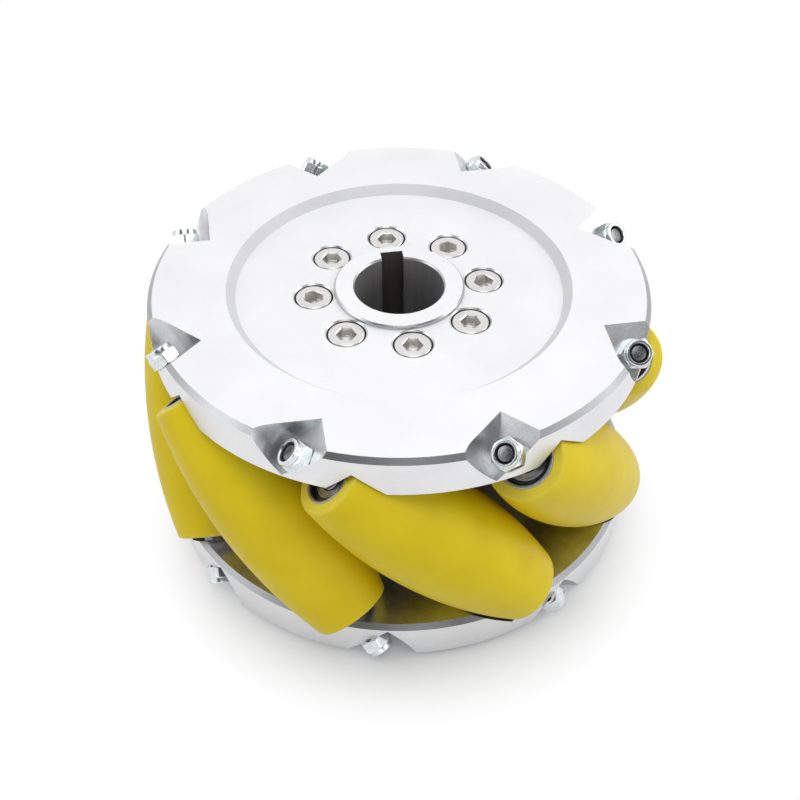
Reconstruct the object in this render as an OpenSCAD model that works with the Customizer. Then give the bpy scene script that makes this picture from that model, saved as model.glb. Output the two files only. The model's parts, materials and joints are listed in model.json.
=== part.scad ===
// Mecanum wheel. Two identical rim plates are screwed to a keyed hub. Between them
// run eight barrel rollers, each on bearings on its own axle. Every axle is turned
// 45 degrees to the wheel's axis, and a lock nut holds each of its two ends.
//
// Frame: millimetres, Z along the wheel's axis, origin at the wheel's centre.
// Roller 1 has its crown on +X, and the keyway points to +Y.

/* [Wheel] */
// Diameter over the rollers
wheel_d = 152.4; // [146:0.1:172]
// How far each roller's contact line runs past its own share of the circle, in degrees
contact_overlap = 0.3; // [0:0.1:1.2]
// Room between two neighbouring rollers, reckoned at their full diameter
tread_gap = 0.56; // [0.2:0.02:1.5]

/* [Plates] */
// How far the rollers stand out past the rims
tread_proud = 5.2; // [4:0.1:7]
// Thickness of a plate at its rim
rim_t = 13.3; // [11.5:0.1:16]
// Chamfer round both edges of the rim
rim_chamfer = 1.4; // [0.4:0.1:2.2]
// Diameter of the round recess in a plate's outer face
recess_d = 98; // [84:1:108]
// Depth of the recess, whose wall slopes at 45 degrees
recess_depth = 2.5; // [1:0.1:4]
// Metal along an axle, between a roller's notch and the nut's seat
web_t = 7.8; // [6:0.1:10]
// Gap between a roller's curved side and the notch it runs in
notch_gap = 0.9; // [0.5:0.1:1.5]
// Gap between a roller's end and the floor of its notch
end_gap = 1.4; // [0.6:0.1:2.5]
// Room round the nut for a socket wrench
socket_gap = 2.9; // [2:0.1:3.6]
// Clearance round an axle in its hole
axle_gap = 0.15; // [0.05:0.05:0.4]

/* [Hub] */
// Diameter of the bore
bore_d = 25.4; // [18:0.1:32]
// Width of the keyway
keyway_w = 6.35; // [4:0.05:9]
// Depth of the keyway beyond the bore's wall
keyway_depth = 2.9; // [1.5:0.1:4]
// Wall between the bore and the outside of the collar
collar_wall = 5.9; // [5:0.1:8]
// How far the collar stands above the recess
collar_proud = 1.3; // [0.6:0.1:2.2]
// Wall of the sleeve outside the screws
sleeve_wall = 3.5; // [2.5:0.1:6]
// Chamfer at the bore's mouth and on the collar's edge
collar_chamfer = 0.5; // [0.2:0.1:1]
// Clearance between the collar and the plate's centre hole
collar_gap = 0.02; // [0.01:0.01:0.1]

/* [Hub screws] */
// Screws through each plate
screw_count = 8; // [4:1:8]
// Thread diameter
screw_d = 6; // [5:0.5:7]
// Length under the head
screw_len = 20; // [14:1:24]
// Head diameter
head_d = 10; // [8.5:0.5:12]
// Head height
head_h = 6; // [4:0.5:6.5]
// Socket size across its flats
socket_af = 5; // [4:0.5:6]
// Depth of the socket
socket_depth = 3.2; // [2:0.1:4]
// Chamfer round the top of the head and at the socket's mouth
head_break = 0.4; // [0.2:0.1:0.8]
// Gap round the head in its counterbore
head_gap = 0.5; // [0.2:0.1:1]
// How far the head lies below the recess floor
head_sink = 0.3; // [0:0.1:0.8]
// Chamfer round the counterbore's mouth
bore_break = 0.4; // [0.1:0.1:0.8]
// Metal between a counterbore and the collar
ligament = 0.4; // [0.3:0.1:2]
// Clearance of a screw in the plate
screw_gap = 0.3; // [0.1:0.1:0.6]
// Clearance that stands for the thread's flanks
thread_gap = 0.05; // [0.02:0.01:0.1]
// Depth of a tapped hole past the screw's end
tap_extra = 2; // [1:0.5:4]

/* [Rollers] */
// Wall of the core round a bearing
core_wall = 1; // [0.8:0.1:2.3]
// Shoulder that a bearing stops against
core_shoulder = 1; // [0.6:0.1:1.6]
// How far the core stands out past the tread at each end
core_proud = 0.2; // [0:0.1:0.8]
// Chamfer on the tread's end corners
tread_chamfer = 0.6; // [0.2:0.1:1]
// How deep a bearing lies inside the core's end
bearing_sink = 1.2; // [0.5:0.1:2.5]

/* [Bearings] */
// Outer diameter
bearing_od = 14; // [12.8:0.1:15]
// Width
bearing_w = 5; // [4:0.1:6]
// Thickness of each race
race_t = 1.1; // [0.9:0.05:1.4]
// Thickness of a shield
shield_t = 0.35; // [0.2:0.05:0.6]
// How deep a shield lies inside the outer race
shield_sink = 0.3; // [0.1:0.05:0.6]
// Gap between a shield and the inner race
shield_gap = 0.3; // [0.15:0.05:0.6]

/* [Axles] */
// Diameter of an axle
axle_d = 5; // [4:0.1:6]
// Sliding clearance of what is threaded on an axle
slip = 0.02; // [0.01:0.01:0.05]
// Wall of the spacers on an axle
spacer_wall = 1.1; // [0.8:0.1:1.3]
// Chamfer on an axle's ends
axle_chamfer = 0.5; // [0.2:0.1:0.9]

/* [Lock nuts] */
// Size across the flats
nut_af = 8; // [7:0.1:9]
// Height over the collar
nut_h = 5; // [4.5:0.1:6.5]
// Height of the hexagon
nut_hex_h = 3.4; // [3:0.1:4]
// Diameter of the collar
nut_collar_d = 7.4; // [7:0.1:7.8]
// Thickness of the collar's wall and of its rolled lip
nut_lip = 0.45; // [0.3:0.05:0.6]
// How far the rolled lip stands off the axle
lip_gap = 0.4; // [0.2:0.05:0.7]
// How far an axle's end lies inside its nut
axle_sink = 0.5; // [0.1:0.1:1]
// How far the nuts stay below the wheel's outer faces
nut_flush = 0.05; // [0.05:0.05:1]

/* [Hidden] */
$fn = 96;
roller_count = 8;
root_2 = sqrt(2);
eps = 0.01;
far = 60;

// Rollers: neighbours lie half_step either side of the line between them.
half_step = 180 / roller_count;
line_gap_ratio = 2 * sin(half_step) / sqrt(1 + pow(cos(half_step), 2));
roller_d = (line_gap_ratio * wheel_d - 2 * tread_gap) / (2 + line_gap_ratio);
axis_r = (wheel_d - roller_d) / 2;
// The contact line reaches contact_end degrees each way. There, the distance from
// the roller's axis to the wheel's envelope gives the radius of the roller's end.
contact_end = half_step + contact_overlap;
envelope_reach = wheel_d / 2 - axis_r / cos(contact_end);
end_r = envelope_reach * sqrt(pow(cos(contact_end), 2) + pow(sin(contact_end), 2) / 2);
tread_half = sin(contact_end) * (wheel_d - envelope_reach) / root_2;
core_half = tread_half + core_proud;
crown = roller_d / 2 - end_r;
barrel_r = (pow(tread_half, 2) + pow(crown, 2)) / (2 * crown);

// Stations along an axle, from its middle.
notch_s = core_half + end_gap;
seat_s = notch_s + web_t;
bearing_s = core_half - bearing_sink;
axle_half = seat_s + nut_h - axle_sink;

// Heights from the wheel's mid plane.
nut_rise = (nut_h + nut_collar_d / 2) / root_2 + nut_flush;
face_z = seat_s / root_2 + nut_rise;
recess_z = face_z - recess_depth;
inner_z = face_z - rim_t;
collar_z = recess_z + collar_proud;

plate_d = wheel_d - 2 * tread_proud;
collar_d = bore_d + 2 * collar_wall;
cbore_d = head_d + 2 * head_gap;
cbore_depth = head_h + head_sink;
screw_circle_d = collar_d + 2 * ligament + cbore_d;
sleeve_d = screw_circle_d + screw_d + 2 * sleeve_wall;
head_seat_z = recess_z - cbore_depth;
pocket_r = nut_af / sqrt(3) + socket_gap;
core_d = bearing_od + 2 * core_wall;
core_bore_d = bearing_od - 2 * core_shoulder;
bearing_bore_d = axle_d + 2 * slip;
inner_race_d = axle_d + 2 * race_t;

function numbered(name) = [for (k = [1:roller_count]) str(name, "_", k)];

// Puts its children in roller k's frame: Z along the axle, X straight out from the
// wheel's axis, origin at the roller's crown plane.
module at_roller(k) {
    rotate([0, 0, (k - 1) * 360 / roller_count])
        translate([axis_r, 0, 0])
            rotate([45, 0, 0])
                children();
}

// Repeats its children at both ends of an axle, a distance s from the middle,
// with +Z pointing away from the roller.
module both_ends(s) {
    for (side = [0, 180])
        rotate([side, 0, 0])
            translate([0, 0, s])
                children();
}

module ring(r_in, r_out, length) {
    rotate_extrude()
        translate([r_in, 0])
            square([r_out - r_in, length]);
}

// Half outline of the barrel, grown by gap, between two stations on the axle.
module barrel_outline(gap, from_s, to_s) {
    intersection() {
        translate([roller_d / 2 - barrel_r, 0])
            circle(r = barrel_r + gap, $fn = 360);
        translate([0, from_s])
            square([roller_d, to_s - from_s]);
    }
}

// Plates

module plate_blank() {
    rim_r = plate_d / 2;
    recess_r = recess_d / 2;
    hole_r = collar_d / 2 + collar_gap;
    rotate_extrude()
        polygon([
            [hole_r, inner_z],
            [rim_r - rim_chamfer, inner_z],
            [rim_r, inner_z + rim_chamfer],
            [rim_r, face_z - rim_chamfer],
            [rim_r - rim_chamfer, face_z],
            [recess_r, face_z],
            [recess_r - recess_depth, recess_z],
            [hole_r, recess_z],
        ]);
}

// Room for a nut and its wrench: a flat seat square to the axle, open outwards
// and upwards, with one round corner that follows the nut.
module nut_pocket() {
    translate([0, 0, seat_s])
        linear_extrude(far)
            union() {
                circle(r = pocket_r);
                translate([-pocket_r, 0])
                    square([far, far]);
                translate([0, -pocket_r])
                    square([far, far]);
            }
}

module roller_notch() {
    rotate_extrude()
        barrel_outline(notch_gap, 0, notch_s);
}

module screw_cutout() {
    translate([0, 0, head_seat_z])
        cylinder(d = cbore_d, h = far);
    translate([0, 0, recess_z - bore_break])
        cylinder(d1 = cbore_d, d2 = cbore_d + 4 * bore_break, h = 2 * bore_break);
    translate([0, 0, inner_z - eps])
        cylinder(d = screw_d + 2 * screw_gap, h = far);
}

module at_screws() {
    for (n = [0:screw_count - 1])
        rotate([0, 0, n * 360 / screw_count])
            translate([screw_circle_d / 2, 0, 0])
                rotate([0, 0, 37 * n])
                    children();
}

module plate() {
    color("gainsboro")
        difference() {
            plate_blank();
            at_screws() screw_cutout();
            for (k = [1:roller_count])
                at_roller(k) {
                    nut_pocket();
                    roller_notch();
                    translate([0, 0, notch_s - web_t])
                        cylinder(d = axle_d + 2 * axle_gap, h = 3 * web_t);
                }
        }
}

module outer_plate() { plate(); }

module inner_plate() { rotate([180, 0, 0]) plate(); }

// Hub

module hub() {
    tap_depth = screw_len - (head_seat_z - inner_z) + tap_extra;
    bore_r = bore_d / 2;
    collar_r = collar_d / 2;
    color("silver")
        difference() {
            rotate_extrude()
                polygon([
                    [bore_r, -collar_z + collar_chamfer],
                    [bore_r + collar_chamfer, -collar_z],
                    [collar_r - collar_chamfer, -collar_z],
                    [collar_r, -collar_z + collar_chamfer],
                    [collar_r, -inner_z],
                    [sleeve_d / 2, -inner_z],
                    [sleeve_d / 2, inner_z],
                    [collar_r, inner_z],
                    [collar_r, collar_z - collar_chamfer],
                    [collar_r - collar_chamfer, collar_z],
                    [bore_r + collar_chamfer, collar_z],
                    [bore_r, collar_z - collar_chamfer],
                ]);
            translate([-keyway_w / 2, 0, -far])
                cube([keyway_w, bore_r + keyway_depth, 2 * far]);
            for (side = [0, 180])
                rotate([side, 0, 0])
                    at_screws()
                        translate([0, 0, inner_z - tap_depth])
                            cylinder(r = screw_d / 2 + thread_gap, h = tap_depth + eps);
        }
}

// Hub screws

module cap_screw() {
    socket_r = socket_af / sqrt(3);
    difference() {
        union() {
            rotate_extrude()
                polygon([
                    [0, 0],
                    [head_d / 2, 0],
                    [head_d / 2, head_h - head_break],
                    [head_d / 2 - head_break, head_h],
                    [0, head_h],
                ]);
            translate([0, 0, -screw_len])
                cylinder(d = screw_d, h = screw_len + eps);
        }
        translate([0, 0, head_h - socket_depth])
            cylinder(r = socket_r, h = far, $fn = 6);
        translate([0, 0, head_h - head_break])
            cylinder(r1 = socket_r - head_break, r2 = socket_r + head_break, h = 2 * head_break);
    }
}

module plate_screws() {
    color("lightgray")
        at_screws()
            translate([0, 0, head_seat_z])
                cap_screw();
}

module outer_screws() { plate_screws(); }

module inner_screws() { rotate([180, 0, 0]) plate_screws(); }

// Rollers

module tread(k) {
    core_r = core_d / 2;
    color("gold")
        at_roller(k)
            rotate_extrude()
                difference() {
                    barrel_outline(0, -tread_half, tread_half);
                    translate([0, -far])
                        square([core_r, 2 * far]);
                    // A square on its corner leaves a 45 degree chamfer.
                    for (side = [-1, 1])
                        translate([end_r, side * tread_half])
                            circle(r = tread_chamfer, $fn = 4);
                }
}

module core(k) {
    seat_r = bearing_od / 2 + slip / 2;
    bottom_s = bearing_s - bearing_w;
    color("dimgray")
        at_roller(k)
            rotate_extrude()
                polygon([
                    [core_bore_d / 2, -bottom_s],
                    [seat_r, -bottom_s],
                    [seat_r, -core_half],
                    [core_d / 2, -core_half],
                    [core_d / 2, core_half],
                    [seat_r, core_half],
                    [seat_r, bottom_s],
                    [core_bore_d / 2, bottom_s],
                ]);
}

// Bearings, drawn from their outer face inwards

module outer_race() {
    outer_r = bearing_od / 2;
    land_r = outer_r - race_t;
    shield_r = inner_race_d / 2 + shield_gap;
    shield_in = bearing_w - shield_sink;
    rotate_extrude()
        polygon([
            [outer_r, 0],
            [outer_r, bearing_w],
            [land_r, bearing_w],
            [land_r, shield_in],
            [shield_r, shield_in],
            [shield_r, shield_in - shield_t],
            [land_r, shield_in - shield_t],
            [land_r, shield_sink + shield_t],
            [shield_r, shield_sink + shield_t],
            [shield_r, shield_sink],
            [land_r, shield_sink],
            [land_r, 0],
        ]);
}

module outer_races(k) {
    color("slategray")
        at_roller(k)
            both_ends(bearing_s - bearing_w)
                outer_race();
}

module inner_races(k) {
    color("lightsteelblue")
        at_roller(k)
            both_ends(bearing_s - bearing_w)
                ring(bearing_bore_d / 2, inner_race_d / 2, bearing_w);
}

// Axles and what is threaded on them

module axle(k) {
    axle_r = axle_d / 2;
    color("gray")
        at_roller(k)
            rotate_extrude()
                polygon([
                    [0, -axle_half],
                    [axle_r - axle_chamfer, -axle_half],
                    [axle_r, -axle_half + axle_chamfer],
                    [axle_r, axle_half - axle_chamfer],
                    [axle_r - axle_chamfer, axle_half],
                    [0, axle_half],
                ]);
}

module end_spacers() {
    color("silver")
        for (k = [1:roller_count])
            at_roller(k)
                both_ends(bearing_s)
                    ring(bearing_bore_d / 2, axle_d / 2 + spacer_wall, notch_s - bearing_s);
}

module spacer_tubes() {
    tube_half = bearing_s - bearing_w;
    color("silver")
        for (k = [1:roller_count])
            at_roller(k)
                translate([0, 0, -tube_half])
                    ring(bearing_bore_d / 2, axle_d / 2 + spacer_wall, 2 * tube_half);
}

module lock_nut() {
    bore_r = axle_d / 2 + slip;
    corner_r = nut_af / sqrt(3);
    collar_r = nut_collar_d / 2;
    difference() {
        union() {
            intersection() {
                cylinder(r = corner_r, h = nut_hex_h, $fn = 6);
                cylinder(r1 = nut_af / 2, r2 = nut_af / 2 + far, h = far);
                translate([0, 0, nut_hex_h - far])
                    cylinder(r1 = nut_af / 2 + far, r2 = nut_af / 2, h = far);
            }
            rotate_extrude()
                polygon([
                    [0, nut_hex_h - eps],
                    [collar_r, nut_hex_h - eps],
                    [collar_r, nut_h - nut_lip],
                    [collar_r - nut_lip, nut_h],
                    [0, nut_h],
                ]);
        }
        translate([0, 0, -eps])
            cylinder(r = bore_r, h = far);
        translate([0, 0, nut_hex_h])
            cylinder(r = collar_r - nut_lip, h = nut_h - nut_hex_h - nut_lip);
        translate([0, 0, nut_hex_h])
            cylinder(r = axle_d / 2 + lip_gap, h = far);
    }
}

module lock_nuts() {
    color("whitesmoke")
        for (k = [1:roller_count])
            at_roller(k)
                both_ends(seat_s)
                    rotate([0, 0, 25 * k])
                        lock_nut();
}

module nut_inserts() {
    insert_r = nut_collar_d / 2 - nut_lip - slip;
    color("black")
        for (k = [1:roller_count])
            at_roller(k)
                both_ends(seat_s + nut_hex_h)
                    ring(axle_d / 2 + slip, insert_r, nut_h - nut_hex_h - nut_lip);
}

outer_plate();
inner_plate();
hub();
outer_screws();
inner_screws();
lock_nuts();
nut_inserts();
end_spacers();
spacer_tubes();
for (k = [1:roller_count]) {
    axle(k);
    inner_races(k);
    tread(k);
    core(k);
    outer_races(k);
}
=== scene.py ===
"""Looks of a mecanum wheel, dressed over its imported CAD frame.

Two rim plates are screwed to a keyed hub, and eight barrel rollers run between
them. Lengths in the classes are millimetres; meshes are made in metres.
"""

from __future__ import annotations

import json
import logging
import math
from collections.abc import Iterator
from dataclasses import dataclass
from enum import Enum

import bmesh
import bpy
import numpy as np
from bpy.types import Material, Mesh, Node, NodeSocket, NodeTree, Object, World
from mathutils import Matrix, Vector


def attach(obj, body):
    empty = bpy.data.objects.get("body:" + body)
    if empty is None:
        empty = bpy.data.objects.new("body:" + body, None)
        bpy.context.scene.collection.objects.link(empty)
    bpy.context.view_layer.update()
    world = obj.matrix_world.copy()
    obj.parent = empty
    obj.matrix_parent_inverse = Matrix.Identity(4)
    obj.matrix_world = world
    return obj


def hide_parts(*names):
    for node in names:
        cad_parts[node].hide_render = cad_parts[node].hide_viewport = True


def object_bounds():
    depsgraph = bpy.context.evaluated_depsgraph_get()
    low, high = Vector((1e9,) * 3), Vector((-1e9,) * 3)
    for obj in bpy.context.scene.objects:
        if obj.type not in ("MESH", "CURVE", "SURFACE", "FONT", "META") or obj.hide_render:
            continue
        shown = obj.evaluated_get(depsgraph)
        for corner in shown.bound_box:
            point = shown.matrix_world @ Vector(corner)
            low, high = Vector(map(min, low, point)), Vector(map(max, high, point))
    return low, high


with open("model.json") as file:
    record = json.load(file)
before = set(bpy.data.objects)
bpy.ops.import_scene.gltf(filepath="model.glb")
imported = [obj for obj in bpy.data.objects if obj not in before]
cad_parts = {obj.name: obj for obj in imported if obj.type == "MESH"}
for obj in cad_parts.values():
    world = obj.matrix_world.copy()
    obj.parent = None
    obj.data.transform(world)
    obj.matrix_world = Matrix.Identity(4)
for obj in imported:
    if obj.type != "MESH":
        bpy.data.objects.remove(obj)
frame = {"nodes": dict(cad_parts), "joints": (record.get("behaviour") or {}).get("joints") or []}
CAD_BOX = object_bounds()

LOG = logging.getLogger("mecanum_wheel")
MM = 0.001
WHEEL = "wheel_frame"
ROLLERS = range(1, 9)
AXLE_FRAME = "axle_frame"

Materials = dict[str, Material]
Pieces = Iterator[Object]
Span = tuple[float, float]
Triple = tuple[float, float, float]
# Radius and height of each ring, each a number or one value for each segment.
Outline = list[tuple[float | np.ndarray, float | np.ndarray]]

# How much of a face's normal has to point one way for the face to count as
# level, as facing straight out, or as slanted, and how little for upright.
LEVEL = 0.999
STRAIGHT = 0.99
SLANTED = 0.6
UPRIGHT = 0.1

# Corners of a CAD mesh closer than this, in metres, are one; faces that meet
# within this many degrees are one flat face.
MERGE_REACH = 2e-6
FLAT_ANGLE = 0.5
# Edges of the CAD copies sharper than these degrees are rounded, or shaded sharp.
ROUND_ANGLE = 28.0
ROUND_STEPS = 2
CAD_SHARP = 24.0


class Ends(Enum):
    """How a turned shape's outline is closed."""

    POLES = "starts and ends on the axis"
    LOOP = "last ring joins the first"


class Side(Enum):
    """The wheel's two sides, as the turn about X that brings each one up."""

    OUTER = 0
    INNER = 180


# ---- meshes


def link(mesh: Mesh, name: str, finishes: list[Material]) -> Object:
    """Puts a mesh into the scene as a piece at the origin.

    Args:
        mesh: Finished mesh, in metres.
        name: Name of the piece.
        finishes: Materials for its slots, in order.

    Returns:
        The new object, with every face in slot 0.
    """
    mesh.name = name
    mesh.materials.clear()
    for finish in finishes:
        mesh.materials.append(finish)
    piece = bpy.data.objects.new(name, mesh)
    bpy.context.scene.collection.objects.link(piece)
    return piece


def smooth(mesh: Mesh, edge_angle: float) -> None:
    """Shades a mesh smooth, with edges steeper than edge_angle degrees kept sharp."""
    mesh.shade_smooth()
    mesh.set_sharp_from_angle(angle=math.radians(edge_angle))


def set_slots(mesh: Mesh, slots: np.ndarray) -> None:
    """Puts each face into its material slot."""
    mesh.polygons.foreach_set("material_index", slots.astype(np.int32))


@dataclass(frozen=True)
class FaceTable:
    """Where a mesh's faces lie round the wheel's axis, and how they face."""

    centre: np.ndarray
    radius: np.ndarray
    outward: np.ndarray
    level: np.ndarray

    @classmethod
    def of(cls, mesh: Mesh) -> FaceTable:
        """Reads the faces of a mesh.

        Args:
            mesh: The mesh, in metres.

        Returns:
            Centres and radii in millimetres, and how much of each normal points
            out from the axis and, up or down, along it.
        """
        normal, centre = np.zeros((2, len(mesh.polygons) * 3))
        mesh.polygons.foreach_get("normal", normal)
        mesh.polygons.foreach_get("center", centre)
        normal, centre = normal.reshape(-1, 3), centre.reshape(-1, 3) / MM
        radius = np.hypot(centre[:, 0], centre[:, 1])
        on_axis = 1e-9
        outward = (normal[:, :2] * centre[:, :2]).sum(1) / np.maximum(radius, on_axis)
        return cls(centre, radius, outward, np.abs(normal[:, 2]))


def grid_faces(rings: int, segments: int, ends: Ends) -> np.ndarray:
    """Quads of a turned grid, as vertex numbers.

    Ring i, segment j is vertex i * segments + j. With Ends.LOOP the last ring
    meets the first one again.

    Args:
        rings: Rings along the outline.
        segments: Points round each ring.
        ends: How the outline is closed.

    Returns:
        Array of quads, one row each.
    """
    last = rings if ends is Ends.LOOP else rings - 1
    i, j = np.meshgrid(np.arange(last), np.arange(segments), indexing="ij")
    k, n = (i + 1) % rings, (j + 1) % segments
    quads = np.stack([i * segments + j, i * segments + n, k * segments + n, k * segments + j], -1)
    return quads.reshape(-1, 4)


def turned(outline: Outline, segments: int) -> np.ndarray:
    """Points of a turned shape: (r cos a, r sin a, h), in millimetres.

    Args:
        outline: Its outline.
        segments: Points round each ring.

    Returns:
        Array of rings x segments x 3.
    """
    angle = np.arange(segments) * 2 * math.pi / segments
    x, y, ones = np.cos(angle), np.sin(angle), np.ones(segments)
    return np.array([(r * x, r * y, h * ones) for r, h in outline]).transpose(0, 2, 1)


def turned_mesh(outline: Outline, segments: int, ends: Ends, places: np.ndarray, sharp: float) -> Mesh:
    """One mesh that holds a turned shape at each of several places.

    Args:
        outline: Its outline, in millimetres.
        segments: Points round each ring.
        ends: How the outline is closed. With Ends.POLES the first and last ring
            lie on the axis and become one point each.
        places: N matrices of 4 x 4, in metres.
        sharp: Edges steeper than these degrees are shaded sharp.

    Returns:
        The mesh, which keeps each point's own place on its axle as an attribute.
    """
    rings = len(outline)
    flat = turned(outline, segments).reshape(-1, 3)
    quads = grid_faces(rings, segments, ends)
    if ends is Ends.POLES:
        pole = np.full(len(flat), -1)
        pole[:segments] = 0
        pole[-segments:] = (rings - 1) * segments
        quads = np.where(pole[quads] >= 0, pole[quads], quads)
    used, quads = np.unique(quads, return_inverse=True)
    quads = quads.reshape(-1, 4)
    flat = flat[used] * MM
    local = np.concatenate([flat, np.ones((len(flat), 1))], 1)
    world = np.einsum("nij,pj->npi", places, local)[..., :3].reshape(-1, 3)
    first = np.arange(len(places))[:, None, None] * len(flat)
    faces = (quads[None] + first).reshape(-1, 4)
    mesh = bpy.data.meshes.new("turned")
    mesh.from_pydata(world, [], [list(dict.fromkeys(face)) for face in faces.tolist()])
    own = mesh.attributes.new(AXLE_FRAME, "FLOAT_VECTOR", "POINT")
    own.data.foreach_set("vector", np.tile(flat, (len(places), 1)).astype(np.float32).ravel())
    bm = bmesh.new()
    bm.from_mesh(mesh)
    bmesh.ops.recalc_face_normals(bm, faces=bm.faces)
    bm.to_mesh(mesh)
    bm.free()
    smooth(mesh, sharp)
    return mesh


def cad_copy(node: str) -> Mesh:
    """A merged copy of a CAD node's mesh, with flat areas joined into large faces.

    Args:
        node: Name of the CAD node.

    Returns:
        The new mesh, where the CAD node's own stays as it is.
    """
    source = frame["nodes"][node].data
    corners = np.zeros(len(source.vertices) * 3, np.float32)
    source.vertices.foreach_get("co", corners)
    loops = np.zeros(len(source.loops), np.int32)
    source.loops.foreach_get("vertex_index", loops)
    mesh = bpy.data.meshes.new(node)
    mesh.from_pydata(corners.reshape(-1, 3), [], loops.reshape(-1, 3))
    bm = bmesh.new()
    bm.from_mesh(mesh)
    bmesh.ops.remove_doubles(bm, verts=bm.verts, dist=MERGE_REACH)
    bmesh.ops.dissolve_limit(bm, angle_limit=math.radians(FLAT_ANGLE), verts=bm.verts, edges=bm.edges)
    bm.to_mesh(mesh)
    bm.free()
    return mesh


def soften(piece: Object, width: float) -> None:
    """Rounds a piece's sharp edges.

    Args:
        piece: The piece.
        width: How far the rounding reaches from each edge, in millimetres.
    """
    bevel = piece.modifiers.new("edge_round", "BEVEL")
    bevel.width = width * MM
    bevel.segments = ROUND_STEPS
    bevel.limit_method = "ANGLE"
    bevel.angle_limit = math.radians(ROUND_ANGLE)
    bevel.use_clamp_overlap = True
    bevel.harden_normals = True
    bevel.miter_outer = "MITER_ARC"


# ---- finishes

COORDINATES = "ShaderNodeTexCoord"
MAPPING = "ShaderNodeMapping"
NOISE = "ShaderNodeTexNoise"
RANGE = "ShaderNodeMapRange"
MATH = "ShaderNodeMath"
MIX = "ShaderNodeMix"
OUTPUT = "ShaderNodeOutputMaterial"

# Most values of a noise texture lie in this span.
NOISE_SPAN = (0.3, 0.7)
# Height in millimetres that a relief of 1 gives a pattern.
FULL_RELIEF = 0.05


def linear(srgb: str) -> tuple[float, float, float, float]:
    """Turns a colour such as "#D2BD2C" into linear values.

    Args:
        srgb: Hash and six hexadecimal digits.

    Returns:
        Red, green, blue and an alpha of 1.
    """
    parts = [int(srgb[i : i + 2], 16) / 255 for i in (1, 3, 5)]
    lin = [c / 12.92 if c <= 0.04045 else ((c + 0.055) / 1.055) ** 2.4 for c in parts]
    return (*lin, 1.0)


def per_mm(size: float) -> float:
    """Scale of a pattern whose marks are size millimetres across."""
    return 1 / (size * MM)


def emptied(holder: Material | World) -> NodeTree:
    """Clears the node tree of a material or world.

    Args:
        holder: The new material or world.

    Returns:
        Its node tree, with no nodes.
    """
    holder.use_nodes = True
    holder.node_tree.nodes.clear()
    return holder.node_tree


def add(tree: NodeTree, kind: str, inputs: dict | None = None, **settings: object) -> Node:
    """Adds a node with its settings, and its inputs as values or as links.

    Args:
        tree: Node tree that takes the node.
        kind: Blender's name of the node type.
        inputs: Socket name or number to a value, an output socket, or a node,
            which stands for its first output in use.
        **settings: Properties of the node itself.

    Returns:
        The node.
    """
    node = tree.nodes.new(kind)
    for key, value in settings.items():
        setattr(node, key, value)
    for key, value in (inputs or {}).items():
        if isinstance(value, Node):
            value = next(output for output in value.outputs if output.enabled)
        if isinstance(value, NodeSocket):
            tree.links.new(value, node.inputs[key])
        else:
            node.inputs[key].default_value = value
    return node


def spans(value: Node, source: Span, target: Span = (0.0, 1.0)) -> dict[str, object]:
    """Inputs that spread a value from one span over another.

    Args:
        value: Node that gives the value.
        source: Span that it comes in.
        target: Span that it is spread over, and kept within.

    Returns:
        The inputs of a range node, by name.
    """
    return {"Value": value} | dict(zip(("From Min", "From Max", "To Min", "To Max"), source + target))


def coat(
    tree: NodeTree, colour: Node, marks: Node, rough: Span, relief: float, body: dict[str, float]
) -> None:
    """Ends a material's tree: one noise gives both its roughness and its relief.

    Args:
        tree: The node tree.
        colour: Node that gives the colour.
        marks: The noise.
        rough: Roughness where the noise is low, and where it is high.
        relief: How far the noise stands out, up to 1.
        body: Further values of the shader, by name.
    """
    gloss = add(tree, RANGE, spans(marks, NOISE_SPAN, rough))
    depth = {"Height": marks, "Strength": relief, "Distance": FULL_RELIEF * MM}
    bump = add(tree, "ShaderNodeBump", depth)
    shown = {"Base Color": colour, "Roughness": gloss, "Normal": bump} | body
    add(tree, OUTPUT, {"Surface": add(tree, "ShaderNodeBsdfPrincipled", shown)})


@dataclass(frozen=True)
class GrainedFinish:
    """Bare metal or plain plastic: two tones, mixed by a fine grain and a soft cloud.

    Both are millimetres across. Stretch below 1 draws them out along that axis.
    """

    name: str
    dark: str
    light: str
    rough: Span
    grain: float
    relief: float
    metallic: float = 1.0
    cloud: float = 22.0
    stretch: Triple = (1.0, 1.0, 1.0)
    grain_share: float = 0.6
    tone_span: Span = (0.55, 1.05)

    def build(self) -> Material:
        """Makes the material.

        Returns:
            A material whose colour, roughness and relief follow one grain.
        """
        mat = bpy.data.materials.new(self.name)
        tree = emptied(mat)
        own = add(tree, COORDINATES).outputs["Object"]
        place = add(tree, MAPPING, {"Vector": own, "Scale": self.stretch})
        grain = add(tree, NOISE, {"Vector": place, "Scale": per_mm(self.grain), "Detail": 3.0})
        cloud = add(tree, NOISE, {"Vector": place, "Scale": per_mm(self.cloud), "Detail": 2.0})
        both = add(tree, MATH, {0: grain, 1: self.grain_share, 2: cloud}, operation="MULTIPLY_ADD")
        tone = add(tree, RANGE, spans(both, self.tone_span))
        tones = {"Factor": tone, "A": linear(self.dark), "B": linear(self.light)}
        colour = add(tree, MIX, tones, data_type="RGBA")
        coat(tree, colour, grain, self.rough, self.relief, {"Metallic": self.metallic})
        return mat


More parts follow.
